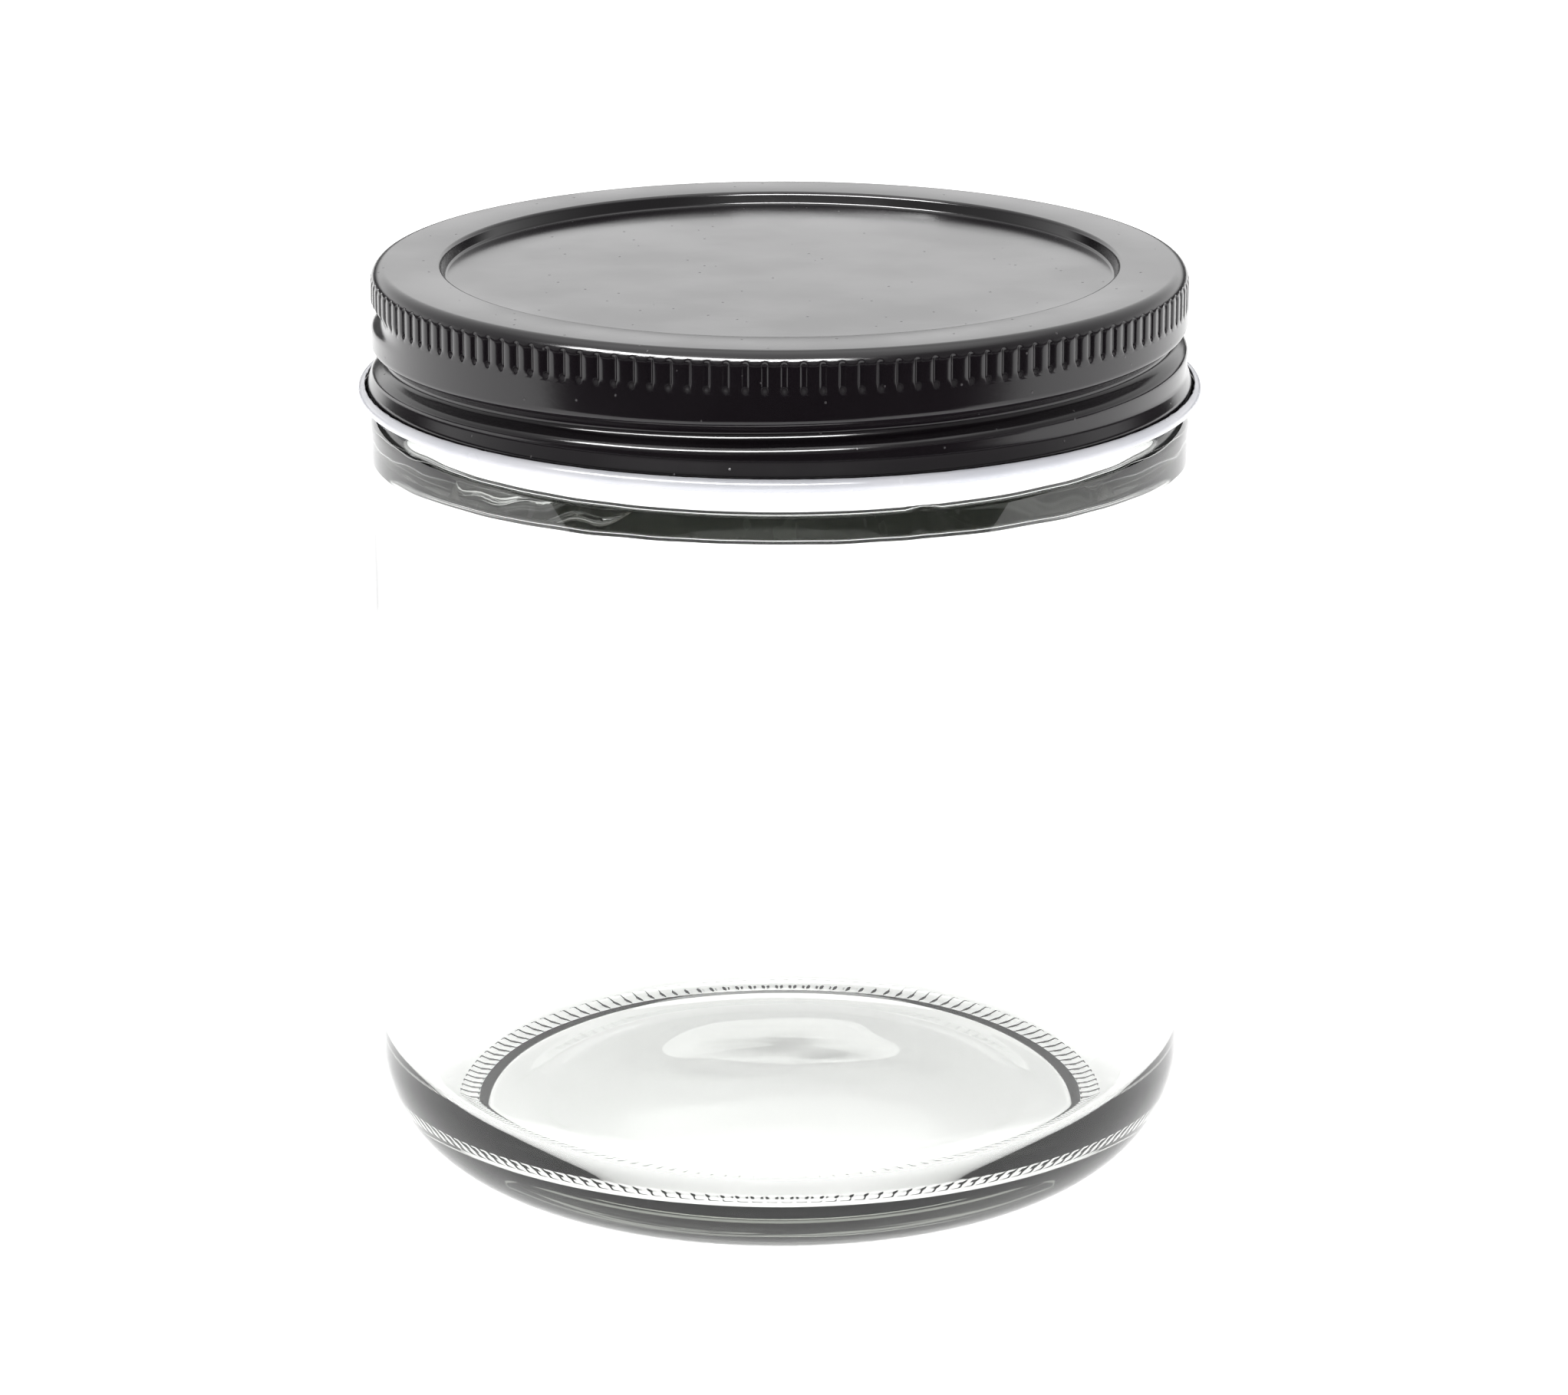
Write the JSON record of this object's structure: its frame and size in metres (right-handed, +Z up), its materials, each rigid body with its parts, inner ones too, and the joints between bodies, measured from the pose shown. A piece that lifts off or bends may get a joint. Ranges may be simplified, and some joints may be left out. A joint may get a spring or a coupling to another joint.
{
  "type": "candle jar",
  "caption": "Empty straight-sided clear glass candle jar with rounded heel and a black knurled metal screw lid, white inside, with a curled hem and a sealing ring.",
  "frame": {"origin": "centre of the ring that the jar stands on", "axes": "+Z up along the jar's axis, -Y towards the viewer in the lid's rest pose"},
  "size_m": [0.094, 0.094, 0.1027],
  "materials": {
    "clear_glass": "clear flint glass, fire polished, stippled on the standing ring",
    "black_lacquer": "satin black lacquer on tinplate, outside of the lid",
    "white_lacquer": "gloss white lacquer on the curled hem, thinning to a grey lining on the inside of the lid",
    "plastisol": "smooth off-white sealing compound"
  },
  "bodies": {
    "jar": {"glass_jar": "clear_glass"},
    "seal": {"lid_gasket": "plastisol"},
    "lid": {"lid_shell": "black_lacquer"}
  },
  "joints": [
    {"name": "lid_rise", "type": "slide", "parent": "jar", "child": "seal", "axis": [0, 0, 1], "range_m": [0, 0.0153]},
    {"name": "lid_turn", "type": "hinge", "parent": "seal", "child": "lid", "pos_m": [0, 0, 0.095], "axis": [0, 0, 1], "range_deg": [0, 1080]}
  ],
  "couplings": [
    {"joint": "lid_rise", "follows": "lid_turn", "m_per_rad": 0.00080851}
  ]
}
